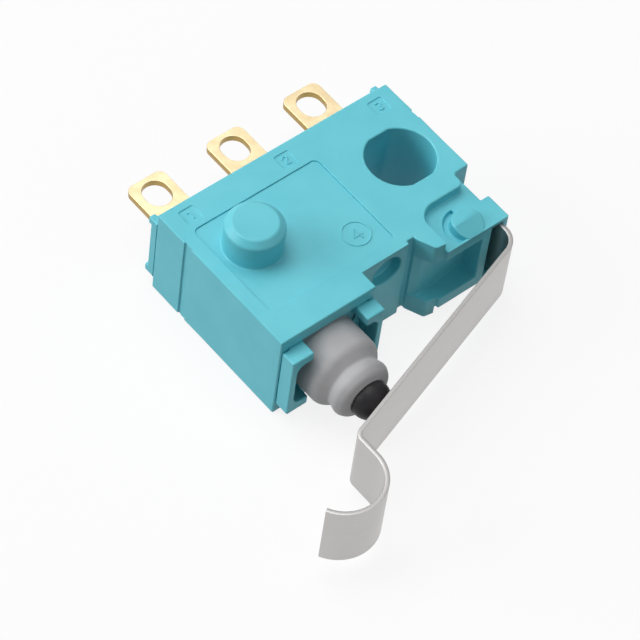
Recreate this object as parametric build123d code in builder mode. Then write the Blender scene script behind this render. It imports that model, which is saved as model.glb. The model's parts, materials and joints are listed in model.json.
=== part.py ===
"""Sealed subminiature snap-action switch with a hinged hook lever, in millimetres.

The origin is on the axis of the mounting hole, at the lower side face.
X runs along the case to the lever hinge, Y from the plunger to the terminals,
and Z up through the thickness, with the locating peg on top.
"""
from build123d import *
import math
import os

os.makedirs("parts", exist_ok=True)

# Case, overall
case_height = 5.76
side_plate = 0.76
seat_gap = 0.02

# Mounting hole, with two flats, and locating peg
hole_r = 1.85
hole_flat = 1.74
hole_to_end = 2.49
hole_to_front = 5.61
hole_to_rear = 4.12
peg_to_end = 2.75
peg_r = 1.55
peg_height = 1.8
peg_chamfer = 0.35

# Front of the case: plunger block, step, lobe and channel round the boss
plunger_block = 6.04
step_depth = 1.1
lobe_to_end = 4.19
lobe_width = 0.63
lobe_slant = 0.45
lobe_drop = 0.1
lobe_corner_r = 0.25
channel_depth = 2.4
channel_corner_r = 1.1
notch_step = 0.8
notch_width = 0.99
notch_corner_r = 0.35
notch_root_r = 0.2
dimple_r = 0.92
dimple_depth = 0.6
dimple_to_step = 1.76
dimple_below_top = 1.31
flute_width = 0.45
flute_depth = 0.2

# Hinge ear, sunk below both side faces
ear_sink = 0.57
ear_proud = 0.17
ear_inset = 0.1
ear_notch = 1.43
ear_waist = 0.64
boss_r = 0.86
boss_rise = 0.41
boss_to_pivot = 1.24
boss_depth = 0.61
moat_width = 0.34
moat_depth = 0.22
moat_to_edge = 0.14
pocket_sink = 1.3
pocket_left_depth = 0.75
pocket_depth = 0.98
pocket_slope = 0.35
pocket_to_slot = 0.55

# Lever hinge
pivot_to_end = 1.04
pivot_depth = 1.35
pivot_r = 0.28
hinge_gap = 0.05
hinge_pocket_gap = 0.14
ear_plate = 0.28
slot_left = 0.13

# Lever, one bent strip
lever_thickness = 0.25
lever_side_gap = 0.08
lever_angle = 17.5
lever_on_tip = 0.03
curl_end = 215
root_bend_r = 1.125
hook_bend_r = 0.475
hook_to_end = 0.12
hook_leg = 7.2
hook_r = 2.125
hook_turn = 151.5

# Lid in the upper plate
lid_left = 0.82
lid_right = 8.75
lid_front = 1.8
lid_to_rear = 1.73
lid_corner_r = 0.35
lid_sunk = 0.07
lid_flange = 0.34
lid_ledge = 0.3

# Opening for the plunger, and the frame in it
plunger_to_end = 2.97
opening_left = 0.5
opening_right = 5.6
opening_depth = 1.2
nose_left = 0.1
nose_right = 5.95
nose_length = 0.9
cheek_lip = 0.6
cheek_corner_r = 0.5
left_lip_gap = 1.55
right_lip_gap = 1.84
left_web = 0.38
right_web = 0.35
boot_seat = 0.3
collar_length = 0.4

# Plunger, its bush and its cap
bush_wall = 0.32
rod_r = 0.8
rod_gap = 0.03
rod_bore_r = 0.6
rod_bore_end = 0.2
rod_flange_r = 1.1
rod_flange_length = 0.32
rod_tail = 0.05
wall_bore_gap = 0.1
spigot_r = 0.45
spigot_length = 0.6
cap_r = 1.08
cap_neck_r = 0.78
cap_neck_length = 0.42
cap_shoulder = 3.4
cap_straight = 0.35
cap_dome_r = 1.1

# Rubber boot
boot_gap = 0.05
boot_wall = 0.37
boot_straight = 1.55
boot_shoulder = 0.85
boot_waist_r = 1.55
boot_waist_flare = 0.15
boot_bulge_r = 1.62
boot_bulge_start = 0.3
boot_bulge_length = 0.45
boot_tip_r = 1.2
boot_bend_r = 0.2
boot_neck_gap = 0.02

# Terminals
terminal_pitch = 5.08
terminal_to_end = 2.276
last_terminal = 0.106
terminal_width = 2.35
terminal_thickness = 0.4
terminal_length = 3.4
terminal_corner_r = 0.45
eye_width = 1.45
eye_length = 1.68
eye_to_tip = 1.15
strip_width = 1.65
strip_bend = 1.0
cross_strip = 0.9
tab_start = 0.75
leg_left = 8.5
leg_width = 0.6

# Terminal base at the rear, and the resin in it
base_inside = 1.83
base_outside = 0.47
base_left = 0.8
base_right = 0.92
base_nub_length = 0.2
base_nub_width = 0.4
base_nub_height = 0.45
resin_margin = 0.1
resin_depth = 0.4
resin_rim = 0.64
groove_to_rear = 2.2
groove_width = 0.16
groove_depth = 0.1
rebate_width = 0.45
rebate_depth = 0.07

# Blade, contacts and snap spring
blade_place = 5.555
blade_thickness = 0.15
blade_arm = 1.3
blade_end = 7.9
blade_height = 1.9
edge_gap = 0.03
flange_width = 0.4
flange_front = 5.1
flange_rear = 6.3
contact_offset = 0.67
contact_place = 7.3
contact_r = 0.6
contact_stem_r = 0.3
fixed_head = 0.4
moving_head_nc = 0.46
moving_head_no = 0.35
contact_gap = 0.45
closed_gap = 0.02
contact_flange_height = 1.72
contact_flange_width = 1.3
leaf_thickness = 0.1
leaf_height = 0.7
leaf_foot = 0.45
leaf_rise = 0.62
leaf_foot_slope = 0.1
leaf_end_slope = -0.6
leaf_anchor = 6.0

# Pusher and coil spring under the plunger
pusher_stem_gap = 0.11
pusher_collar_r = 0.75
pusher_collar = 0.4
pusher_stem_length = 2.75
pusher_tip_r = 0.4
pusher_tip_length = 0.31
pusher_dome = 0.1
pusher_gap = 0.02
coil_gap = 0.07
coil_wire_r = 0.06
coil_wire_sides = 4
coil_turns = 6

# Cavity in the case
cavity_left = 1.15
cavity_end_gap = 0.5
channel_gap = 0.2
nc_channel_height = 1.0

# Places that follow from the sizes
common_x = last_terminal - 2 * terminal_pitch
open_x = last_terminal - terminal_pitch
closed_x = last_terminal
left_x = common_x - terminal_to_end
right_x = hole_to_end
front_y = -hole_to_front
rear_y = hole_to_rear
notch_y = front_y + channel_depth + notch_step
mid_z = case_height / 2
cavity_right = blade_end + cavity_end_gap
inner_low = side_plate
inner_high = case_height - side_plate
plunger_x = left_x + plunger_to_end
pivot_x = right_x - pivot_to_end
pivot_y = front_y + pivot_depth
lobe_x = right_x - lobe_to_end
ear_front_y = front_y - ear_proud
ear_top = case_height - ear_sink
cavity_front_y = front_y + lid_front + lid_ledge
base_front_y = rear_y - base_inside
base_rear_y = rear_y + base_outside
boot_r = (inner_high - inner_low) / 2 - boot_gap
boot_inner_r = boot_r - boot_wall
bush_r = rod_r + rod_gap + bush_wall
curl_outer_r = pivot_r + hinge_gap + lever_thickness
slot_low = ear_sink + ear_plate
slot_height = case_height - 2 * slot_low
coil_r = rod_bore_r - coil_gap - coil_wire_r
strip_low = mid_z - terminal_thickness / 2
contact_x = left_x + contact_place
contact_z = mid_z + contact_offset
blade_y = front_y + blade_place
blade_pivot_x = plunger_x - blade_arm
plunger_plane = Plane(origin=(plunger_x, front_y, mid_z), x_dir=(1, 0, 0), z_dir=(0, 0, 1))
plunger_axis = Axis((plunger_x, front_y, mid_z), (0, 1, 0))


# Shared shapes
def block(x_range, y_range, z_range, mode=Mode.ADD):
    """Add or cut a block given by its ranges along the three axes."""
    ranges = (x_range, y_range, z_range)
    centre = [(low + high) / 2 for low, high in ranges]
    sizes = [high - low for low, high in ranges]
    with Locations(tuple(centre)):
        Box(*sizes, mode=mode)


def rectangle(x_range, y_range, corner_r=0.0, mode=Mode.ADD):
    """Draw a rectangle by its ranges in the open sketch, with rounded corners if asked."""
    centre = (sum(x_range) / 2, sum(y_range) / 2)
    width = x_range[1] - x_range[0]
    height = y_range[1] - y_range[0]
    with Locations(centre):
        if corner_r > 0:
            RectangleRounded(width, height, corner_r, mode=mode)
        else:
            Rectangle(width, height, mode=mode)


def turned(points, mode=Mode.ADD):
    """Revolve a profile of (radius, depth) points about the plunger's axis."""
    with BuildSketch(plunger_plane) as profile:
        with BuildLine():
            Polyline(*points, close=True)
        make_face()
    revolve(profile.sketch, axis=plunger_axis, mode=mode)


def round_along_y(x, z, radius, y_range, mode=Mode.ADD):
    """Add or cut a cylinder that runs along Y."""
    start = Plane(origin=(x, y_range[0], z), x_dir=(1, 0, 0), z_dir=(0, 1, 0))
    with BuildSketch(start) as section:
        Circle(radius)
    extrude(section.sketch, amount=y_range[1] - y_range[0], mode=mode)


# Boss on the ear: a disc whose front half slopes down to the ear's edge
with BuildPart() as boss:
    boss_x = pivot_x - boss_to_pivot
    boss_y = front_y + boss_depth
    with BuildSketch(Plane.XY.offset(ear_top)):
        with Locations((boss_x, boss_y)):
            Circle(boss_r)
    extrude(amount=boss_rise)
    with BuildSketch(Plane.YZ.offset(boss_x)):
        with BuildLine():
            Polyline(
                (boss_y, ear_top + boss_rise),
                (ear_front_y, ear_top),
                (ear_front_y - boss_r, ear_top),
                (ear_front_y - boss_r, ear_top + boss_rise),
                close=True,
            )
        make_face()
    extrude(amount=boss_r, both=True, mode=Mode.SUBTRACT)

# Case: one moulding with the mounting block, hinge ear, pocket and inner cavity
with BuildPart() as case:
    with BuildSketch() as side_outline:
        with BuildLine():
            Polyline(
                (left_x, front_y),
                (left_x + plunger_block, front_y),
                (left_x + plunger_block, front_y + step_depth),
                (lobe_x - lobe_width - lobe_slant, front_y + step_depth),
                (lobe_x - lobe_width, front_y + lobe_drop),
                (lobe_x, front_y),
                (lobe_x, front_y + channel_depth),
                (right_x - notch_width, front_y + channel_depth),
                (right_x - notch_width, notch_y),
                (right_x, notch_y),
                (right_x, rear_y),
                (left_x, rear_y),
                close=True,
            )
        make_face()
        for corner, corner_r in (
            ((lobe_x - lobe_width, front_y + lobe_drop, 0), lobe_corner_r),
            ((lobe_x, front_y + channel_depth, 0), channel_corner_r),
            ((right_x - notch_width, front_y + channel_depth, 0), notch_corner_r),
            ((right_x - notch_width, notch_y, 0), notch_root_r),
        ):
            fillet(side_outline.vertices().sort_by_distance(corner)[0], corner_r)
    extrude(amount=case_height)
    # Ear at its lower level, behind the channel on both sides
    with BuildSketch(Plane.XY.offset(ear_sink)):
        with BuildLine():
            Polyline(
                (lobe_x, ear_front_y),
                (right_x - ear_inset, ear_front_y),
                (right_x - ear_inset, front_y + ear_notch),
                (right_x - ear_waist, front_y + ear_notch),
                (right_x - ear_waist, notch_y),
                (lobe_x, notch_y),
                close=True,
            )
        make_face()
    extrude(amount=case_height - 2 * ear_sink)
    # Moat round the left of the boss, as deep on the lower side
    with BuildSketch(Plane.XY.offset(ear_top - moat_depth)) as moat:
        with Locations((boss_x, boss_y)):
            Circle(boss_r + moat_width)
            Circle(boss_r, mode=Mode.SUBTRACT)
        moat_reach = boss_r + moat_width
        rectangle(
            (boss_x - moat_reach, boss_x),
            (ear_front_y + moat_to_edge, boss_y + moat_reach),
            mode=Mode.INTERSECT,
        )
    extrude(amount=moat_depth, mode=Mode.SUBTRACT)
    lower_moat = Plane.XY.offset(ear_sink)
    extrude(lower_moat.from_local_coords(moat.sketch_local), amount=moat_depth,
            mode=Mode.SUBTRACT)
    # Boss on the upper side, and its like on the lower
    add(boss.part)
    add(mirror(boss.part, about=Plane.XY.offset(mid_z), mode=Mode.PRIVATE))
    # Pocket in front of the mounting block
    slot_left_x = pivot_x - slot_left
    pocket_left_x = lobe_x - lobe_width - lobe_slant
    with BuildSketch(Plane.XY.offset(pocket_sink)):
        with BuildLine():
            Polyline(
                (pocket_left_x, front_y + step_depth),
                (pocket_left_x + pocket_slope, front_y + pocket_left_depth),
                (slot_left_x - pocket_to_slot, front_y + pocket_depth),
                (slot_left_x - pocket_to_slot, ear_front_y - ear_proud),
                (pocket_left_x, ear_front_y - ear_proud),
                close=True,
            )
        make_face()
    extrude(amount=case_height - 2 * pocket_sink, mode=Mode.SUBTRACT)
    # Slot and round pocket for the lever's root, with the hinge bar left standing in it
    with BuildSketch(Plane.XY.offset(slot_low)):
        slot_x = (slot_left_x, pivot_x + curl_outer_r + hinge_gap)
        rectangle(slot_x, (ear_front_y - ear_proud, pivot_y))
        with Locations((pivot_x, pivot_y)):
            Circle(curl_outer_r + hinge_pocket_gap)
            Circle(pivot_r, mode=Mode.SUBTRACT)
    extrude(amount=slot_height, mode=Mode.SUBTRACT)
    # Mounting hole with its two flats
    with BuildSketch():
        Circle(hole_r)
        Rectangle(2 * hole_r, 2 * hole_flat, mode=Mode.INTERSECT)
    extrude(amount=case_height, mode=Mode.SUBTRACT)
    # Upright flute at the right end of the step wall
    with BuildSketch():
        with Locations((pocket_left_x - flute_width / 2, front_y + step_depth)):
            Rectangle(flute_width, 2 * flute_depth)
    extrude(amount=case_height, mode=Mode.SUBTRACT)
    # Dimple in the step wall
    dimple_x = left_x + plunger_block + dimple_to_step
    dimple_range = (front_y + step_depth - dimple_depth, front_y + step_depth + dimple_depth)
    round_along_y(dimple_x, case_height - dimple_below_top, dimple_r, dimple_range, Mode.SUBTRACT)
    # Opening for the front frame, bore for the plunger, and cavity for the mechanism
    block(
        (left_x + opening_left, left_x + opening_right),
        (front_y, front_y + opening_depth),
        (inner_low, inner_high),
        Mode.SUBTRACT,
    )
    wall_y = (front_y, cavity_front_y)
    round_along_y(plunger_x, mid_z, rod_r + wall_bore_gap, wall_y, Mode.SUBTRACT)
    block(
        (left_x + cavity_left, left_x + cavity_right),
        (cavity_front_y, base_front_y),
        (inner_low, inner_high),
        Mode.SUBTRACT,
    )
    leg_x = left_x + leg_left
    nc_front_y = blade_y - blade_thickness / 2 - moving_head_nc - closed_gap - fixed_head
    block(
        (left_x + cavity_right, leg_x + leg_width + channel_gap),
        (nc_front_y - flange_width - channel_gap, base_front_y),
        (mid_z - nc_channel_height / 2, mid_z + nc_channel_height / 2),
        Mode.SUBTRACT,
    )
    # Rear opening for the terminal base
    block(
        (left_x + base_left, right_x - base_right),
        (base_front_y, rear_y),
        (inner_low, inner_high),
        Mode.SUBTRACT,
    )
    # Window for the lid: a shallow seat, and a smaller opening under it
    lid_seat_z = case_height - lid_sunk - lid_flange
    lid_x = (left_x + lid_left, left_x + lid_right)
    lid_y = (front_y + lid_front, rear_y - lid_to_rear)
    with BuildSketch(Plane.XY.offset(lid_seat_z)):
        rectangle(lid_x, lid_y, lid_corner_r)
    extrude(amount=lid_sunk + lid_flange, mode=Mode.SUBTRACT)
    with BuildSketch(Plane.XY.offset(inner_high)):
        rectangle(
            (lid_x[0] + lid_ledge, lid_x[1] - lid_ledge),
            (lid_y[0] + lid_ledge, lid_y[1] - lid_ledge),
            lid_corner_r,
        )
    extrude(amount=lid_seat_z - inner_high, mode=Mode.SUBTRACT)
    # Grooves across both ends, each with a shallow rebate in front of it
    groove_y = rear_y - groove_to_rear
    rebate_y = groove_y - rebate_width / 2
    with BuildSketch():
        with Locations((left_x, groove_y), (right_x, groove_y)):
            Rectangle(2 * groove_depth, groove_width)
        with Locations((left_x, rebate_y), (right_x, rebate_y)):
            Rectangle(2 * rebate_depth, rebate_width)
    extrude(amount=case_height, mode=Mode.SUBTRACT)
case.part.label = "case"
export_step(case.part, "parts/case.step")

# Lid with the locating peg
with BuildPart() as lid:
    with BuildSketch(Plane.XY.offset(lid_seat_z)):
        rectangle(
            (lid_x[0] + seat_gap, lid_x[1] - seat_gap),
            (lid_y[0] + seat_gap, lid_y[1] - seat_gap),
            lid_corner_r - seat_gap,
        )
    extrude(amount=lid_flange)
    with BuildSketch(Plane.XY.offset(inner_high)):
        rectangle(
            (lid_x[0] + lid_ledge + seat_gap, lid_x[1] - lid_ledge - seat_gap),
            (lid_y[0] + lid_ledge + seat_gap, lid_y[1] - lid_ledge - seat_gap),
            lid_corner_r - seat_gap,
        )
    extrude(amount=lid_seat_z - inner_high)
    lid_top = lid_seat_z + lid_flange
    with BuildSketch(Plane.XY.offset(lid_top)):
        with Locations((left_x + peg_to_end, 0)):
            Circle(peg_r)
    extrude(amount=lid_sunk + peg_height)
    peg_edges = lid.edges().filter_by(GeomType.CIRCLE).filter_by(lambda e: e.radius == peg_r)
    chamfer(peg_edges.sort_by(Axis.Z)[-1], peg_chamfer)
lid.part.label = "lid"
export_step(lid.part, "parts/lid.step")


def cheek_gap(depth_range):
    """Cut the space between the cheeks: a rounded window, open above and below."""
    start = Plane(origin=(0, depth_range[0], 0), x_dir=(1, 0, 0), z_dir=(0, -1, 0))
    with BuildSketch(start) as window:
        rectangle(
            (left_x + nose_left + left_web, left_x + nose_right - right_web),
            (inner_low + cheek_lip, inner_high - cheek_lip),
            cheek_corner_r,
        )
        rectangle(
            (plunger_x - left_lip_gap, plunger_x + right_lip_gap),
            (inner_low - seat_gap, inner_high + seat_gap),
        )
    extrude(window.sketch, amount=depth_range[0] - depth_range[1], mode=Mode.SUBTRACT)


# Front frame: two cheeks beside the boot, and the collar that holds it
with BuildPart() as front_frame:
    nose_y = front_y - nose_length
    boot_seat_y = front_y + boot_seat
    block(
        (left_x + nose_left, left_x + nose_right),
        (nose_y, front_y),
        (inner_low + seat_gap, inner_high - seat_gap),
    )
    block(
        (left_x + opening_left + seat_gap, left_x + opening_right - seat_gap),
        (front_y, front_y + opening_depth),
        (inner_low + seat_gap, inner_high - seat_gap),
    )
    cheek_gap((nose_y, boot_seat_y))
    collar_y = (front_y - collar_length, boot_seat_y)
    round_along_y(plunger_x, mid_z, boot_inner_r - seat_gap, collar_y)
    bush_range = (front_y - collar_length, front_y + opening_depth)
    round_along_y(plunger_x, mid_z, bush_r, bush_range, Mode.SUBTRACT)
front_frame.part.label = "front_frame"
export_step(front_frame.part, "parts/front_frame.step")

# Bush that the plunger slides in
with BuildPart() as guide_bush:
    round_along_y(plunger_x, mid_z, bush_r, bush_range)
    round_along_y(plunger_x, mid_z, rod_r + rod_gap, bush_range, Mode.SUBTRACT)
guide_bush.part.label = "guide_bush"
export_step(guide_bush.part, "parts/guide_bush.step")

# Boot: straight skirt, shoulder, waist and bulge, down to a neck on the cap
with BuildPart() as boot:
    waist_y = -boot_straight - boot_shoulder
    bulge_y = waist_y - boot_bulge_start
    bulge_end_y = bulge_y - boot_bulge_length
    neck_y = seat_gap - cap_shoulder
    grip_r = cap_neck_r + boot_neck_gap
    with BuildSketch(plunger_plane):
        with BuildLine():
            skirt = FilletPolyline(
                (boot_r, boot_seat),
                (boot_r, -boot_straight - boot_waist_flare),
                (boot_waist_r, waist_y),
                radius=boot_bend_r,
            )
            bulge = FilletPolyline(
                (boot_waist_r, waist_y),
                (boot_bulge_r, bulge_y),
                (boot_bulge_r, bulge_end_y),
                (boot_tip_r, neck_y),
                radius=boot_bend_r,
            )
            Polyline(
                bulge @ 1,
                (grip_r, neck_y),
                (grip_r, neck_y + boot_wall),
                (boot_waist_r - boot_wall, bulge_y),
                (boot_waist_r - boot_wall, waist_y),
                (boot_inner_r, -boot_straight),
                (boot_inner_r, boot_seat),
                skirt @ 0,
            )
        make_face()
    revolve(axis=plunger_axis)
boot.part.label = "boot"
export_step(boot.part, "parts/boot.step")

# Plunger rod: hollow, with a flange behind the wall and a spigot for the cap
cavity_front = cavity_front_y - front_y
flange_start = cavity_front + rod_gap
flange_end = flange_start + rod_flange_length
rod_end = flange_end + rod_tail
rod_front = cap_shoulder - cap_neck_length
with BuildPart() as plunger_rod:
    turned([
        (0, -rod_front - spigot_length),
        (spigot_r, -rod_front - spigot_length),
        (spigot_r, -rod_front),
        (rod_r, -rod_front),
        (rod_r, flange_start),
        (rod_flange_r, flange_start),
        (rod_flange_r, flange_end),
        (rod_r, flange_end),
        (rod_r, rod_end),
        (rod_bore_r, rod_end),
        (rod_bore_r, -rod_bore_end),
        (0, -rod_bore_end),
    ])
plunger_rod.part.label = "plunger_rod"
export_step(plunger_rod.part, "parts/plunger_rod.step")

# Cap: domed tip with a neck that the boot grips
with BuildPart() as plunger_cap:
    dome_start = cap_shoulder + cap_straight
    dome_centre = dome_start - math.sqrt(cap_dome_r**2 - cap_r**2)
    with BuildSketch(plunger_plane):
        with BuildLine():
            Polyline(
                (0, -dome_centre - cap_dome_r),
                (0, -rod_front - spigot_length),
                (spigot_r, -rod_front - spigot_length),
                (spigot_r, -rod_front),
                (cap_neck_r, -rod_front),
                (cap_neck_r, -cap_shoulder),
                (cap_r, -cap_shoulder),
                (cap_r, -dome_start),
            )
            RadiusArc((cap_r, -dome_start), (0, -dome_centre - cap_dome_r), cap_dome_r)
        make_face()
    revolve(axis=plunger_axis)
plunger_cap.part.label = "plunger_cap"
export_step(plunger_cap.part, "parts/plunger_cap.step")

# Lever: curl round the hinge bar, leg, arm that rests on the cap, and hook
with BuildPart() as lever:
    half = lever_thickness / 2
    lever_width = slot_height - 2 * lever_side_gap
    slope = math.radians(lever_angle)
    along = (math.cos(slope), math.sin(slope))
    away = (math.sin(slope), -math.cos(slope))
    reach = cap_dome_r + lever_on_tip + half
    arm_x = plunger_x + reach * away[0]
    arm_y = front_y - dome_centre + reach * away[1]
    curl_r = curl_outer_r - half
    leg_line_x = pivot_x + curl_r
    hook_line_x = left_x + hook_to_end

    def arm_point(x):
        """Point on the arm's middle line at this x."""
        return (x, arm_y + (x - arm_x) * along[1] / along[0])

    hook_y = front_y - hook_leg
    with BuildSketch(Plane.XY.offset(mid_z - lever_width / 2)):
        with BuildLine():
            CenterArc((pivot_x, pivot_y), curl_r, 0, curl_end)
            FilletPolyline(
                (leg_line_x, pivot_y),
                arm_point(leg_line_x),
                arm_point(hook_line_x),
                (hook_line_x, hook_y),
                radius=[root_bend_r, hook_bend_r],
            )
            CenterArc((hook_line_x - hook_r, hook_y), hook_r, 0, -hook_turn)
        trace(line_width=lever_thickness)
    extrude(amount=lever_width)
lever.part.label = "lever"
export_step(lever.part, "parts/lever.step")


tab_y = base_rear_y - tab_start


def strip_outline(tab_x, ranges):
    """Flat outline of a terminal: its tab with the eye, and the strips in front of it."""
    tab_rear = base_rear_y + terminal_length
    tab = (tab_x - terminal_width / 2, tab_x + terminal_width / 2)
    rectangle(tab, (tab_y, tab_rear), terminal_corner_r)
    rectangle(tab, (tab_y, base_rear_y))
    with Locations((tab_x, tab_rear - eye_to_tip)):
        SlotOverall(eye_length, eye_width, rotation=90, mode=Mode.SUBTRACT)
    for x_range, y_range in ranges:
        rectangle(x_range, y_range)


bend_y = base_rear_y - strip_bend
flange_x = (blade_pivot_x - flange_width, blade_pivot_x)
open_flange_y = blade_y + blade_thickness / 2 + moving_head_no + contact_gap + fixed_head
contact_flange_x = (contact_x - contact_flange_width / 2, contact_x + contact_flange_width / 2)
closed_flange_y = (nc_front_y - flange_width, nc_front_y)
common_strips = [
    ((flange_x[0], flange_x[0] + strip_width), (bend_y - 2 * cross_strip, tab_y)),
    (flange_x, (front_y + flange_front, bend_y)),
]
open_strips = [(contact_flange_x, (open_flange_y, tab_y))]
closed_strips = [
    ((closed_x - terminal_width / 2, closed_x + terminal_width / 2), (bend_y, tab_y)),
    ((leg_x, closed_x + terminal_width / 2), (bend_y - cross_strip, bend_y)),
    ((leg_x, leg_x + leg_width), (closed_flange_y[0], bend_y)),
    ((contact_flange_x[0], leg_x + leg_width), closed_flange_y),
]

# Common terminal, with the notches that the blade and the snap spring pivot in
with BuildPart() as terminal_common:
    with BuildSketch(Plane.XY.offset(strip_low)):
        strip_outline(common_x, common_strips)
    extrude(amount=terminal_thickness)
    flange_top = contact_z + blade_height / 2
    block(flange_x, (front_y + flange_front, front_y + flange_rear), (strip_low, flange_top))
    edge_r = blade_thickness / 2
    with BuildSketch(Plane.XY.offset(strip_low)):
        for edge_y, round_r in ((blade_y, edge_r), (front_y + leaf_anchor, leaf_thickness)):
            # Flanks at right angles that clear the round edge by the gap
            notch = (round_r + edge_gap) / math.sin(math.pi / 4)
            with BuildLine():
                Polyline(
                    (blade_pivot_x - notch, edge_y),
                    (blade_pivot_x + edge_r, edge_y - notch - edge_r),
                    (blade_pivot_x + edge_r, edge_y + notch + edge_r),
                    close=True,
                )
            make_face()
    extrude(amount=flange_top - strip_low, mode=Mode.SUBTRACT)
terminal_common.part.label = "terminal_common"
export_step(terminal_common.part, "parts/terminal_common.step")


def contact_flange(y_range):
    """Upright flange on a fixed strip, with the hole for its contact rivet."""
    block(contact_flange_x, y_range, (strip_low, strip_low + contact_flange_height))
    round_along_y(contact_x, contact_z, contact_stem_r, y_range, Mode.SUBTRACT)


# Normally open terminal
with BuildPart() as terminal_no:
    with BuildSketch(Plane.XY.offset(strip_low)):
        strip_outline(open_x, open_strips)
    extrude(amount=terminal_thickness)
    contact_flange((open_flange_y, open_flange_y + flange_width))
terminal_no.part.label = "terminal_no"
export_step(terminal_no.part, "parts/terminal_no.step")

# Normally closed terminal, led round to the front of the blade
with BuildPart() as terminal_nc:
    with BuildSketch(Plane.XY.offset(strip_low)):
        strip_outline(closed_x, closed_strips)
    extrude(amount=terminal_thickness)
    contact_flange(closed_flange_y)
terminal_nc.part.label = "terminal_nc"
export_step(terminal_nc.part, "parts/terminal_nc.step")

# Fixed contact rivets
with BuildPart() as contact_no:
    round_along_y(contact_x, contact_z, contact_r, (open_flange_y - fixed_head, open_flange_y))
    stem_range = (open_flange_y, open_flange_y + flange_width)
    round_along_y(contact_x, contact_z, contact_stem_r, stem_range)
contact_no.part.label = "contact_no"
export_step(contact_no.part, "parts/contact_no.step")

with BuildPart() as contact_nc:
    round_along_y(contact_x, contact_z, contact_r, (nc_front_y, nc_front_y + fixed_head))
    round_along_y(contact_x, contact_z, contact_stem_r, closed_flange_y)
contact_nc.part.label = "contact_nc"
export_step(contact_nc.part, "parts/contact_nc.step")

# Terminal base, moulded round the three strips, with a trough for the resin
resin_front_y = base_rear_y - resin_depth
resin_reach = terminal_width / 2 + resin_margin
resin_x = (common_x - resin_reach, closed_x + resin_reach)
resin_z = (inner_low + resin_rim, inner_high - resin_rim)
with BuildPart() as terminal_base:
    block(
        (left_x + base_left + seat_gap, right_x - base_right - seat_gap),
        (base_front_y, rear_y),
        (inner_low + seat_gap, inner_high - seat_gap),
    )
    block((left_x, right_x), (rear_y, base_rear_y), (inner_low, inner_high))
    nub_y = (base_rear_y, base_rear_y + base_nub_length)
    for nub_x in ((left_x, left_x + base_nub_width), (right_x - base_nub_width, right_x)):
        block(nub_x, nub_y, (inner_low, inner_low + base_nub_height))
        block(nub_x, nub_y, (inner_high - base_nub_height, inner_high))
    block(resin_x, (resin_front_y, base_rear_y), resin_z, Mode.SUBTRACT)
    for tab_x, strips in (
        (common_x, common_strips),
        (open_x, open_strips),
        (closed_x, closed_strips),
    ):
        with BuildSketch(Plane.XY.offset(strip_low)):
            strip_outline(tab_x, strips)
        extrude(amount=terminal_thickness, mode=Mode.SUBTRACT)
terminal_base.part.label = "terminal_base"
export_step(terminal_base.part, "parts/terminal_base.step")

# Resin poured round the terminals
with BuildPart() as resin_seal:
    block(resin_x, (resin_front_y, base_rear_y), resin_z)
    for tab_x in (common_x, open_x, closed_x):
        with BuildSketch(Plane.XY.offset(strip_low)):
            strip_outline(tab_x, [])
        extrude(amount=terminal_thickness, mode=Mode.SUBTRACT)
resin_seal.part.label = "resin_seal"
export_step(resin_seal.part, "parts/resin_seal.step")

# Moving blade: a flat strip with a rounded pivot edge
blade_face_y = (blade_y - blade_thickness / 2, blade_y + blade_thickness / 2)
with BuildPart() as moving_blade:
    with BuildSketch(Plane.XY.offset(contact_z - blade_height / 2)):
        rectangle((blade_pivot_x, left_x + blade_end), blade_face_y)
        with Locations((blade_pivot_x, blade_y)):
            Circle(blade_thickness / 2)
    extrude(amount=blade_height)
    round_along_y(contact_x, contact_z, contact_stem_r, blade_face_y, Mode.SUBTRACT)
moving_blade.part.label = "moving_blade"
export_step(moving_blade.part, "parts/moving_blade.step")

# Moving contact: a rivet with a head on each side of the blade
with BuildPart() as moving_contact:
    nc_head_y = (blade_face_y[0] - moving_head_nc, blade_face_y[0])
    no_head_y = (blade_face_y[1], blade_face_y[1] + moving_head_no)
    round_along_y(contact_x, contact_z, contact_r, nc_head_y)
    round_along_y(contact_x, contact_z, contact_stem_r, blade_face_y)
    round_along_y(contact_x, contact_z, contact_r, no_head_y)
moving_contact.part.label = "moving_contact"
export_step(moving_contact.part, "parts/moving_contact.step")

# Snap spring: a bowed leaf from the common terminal to a foot on the blade
with BuildPart() as snap_spring:
    foot_end = (contact_x - contact_r - leaf_thickness, blade_face_y[1] + leaf_thickness / 2)
    foot_start = (foot_end[0] - leaf_foot, foot_end[1])
    anchor = (blade_pivot_x + leaf_thickness, front_y + leaf_anchor)
    crest = ((anchor[0] + foot_start[0]) / 2, anchor[1] + leaf_rise)
    with BuildSketch(Plane.XY.offset(contact_z - leaf_height / 2)):
        with BuildLine():
            Line(foot_end, foot_start)
            Spline(foot_start, crest, anchor, tangents=[(-1, leaf_foot_slope), (-1, leaf_end_slope)])
        trace(line_width=leaf_thickness)
    extrude(amount=leaf_height)
snap_spring.part.label = "snap_spring"
export_step(snap_spring.part, "parts/snap_spring.step")

# Pusher: stem inside the coil, collar under it, and a domed tip on the blade
tip_end = blade_face_y[0] - front_y - pusher_gap
collar_end = tip_end - pusher_tip_length
collar_start = collar_end - pusher_collar
stem_r = coil_r - coil_wire_r - pusher_stem_gap
with BuildPart() as pusher:
    turned([
        (0, collar_start - pusher_stem_length),
        (stem_r, collar_start - pusher_stem_length),
        (stem_r, collar_start),
        (pusher_collar_r, collar_start),
        (pusher_collar_r, collar_end),
        (pusher_tip_r, collar_end),
        (pusher_tip_r, tip_end - pusher_dome),
        (pusher_tip_r / 2, tip_end),
        (0, tip_end),
    ])
pusher.part.label = "pusher"
export_step(pusher.part, "parts/pusher.step")

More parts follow.
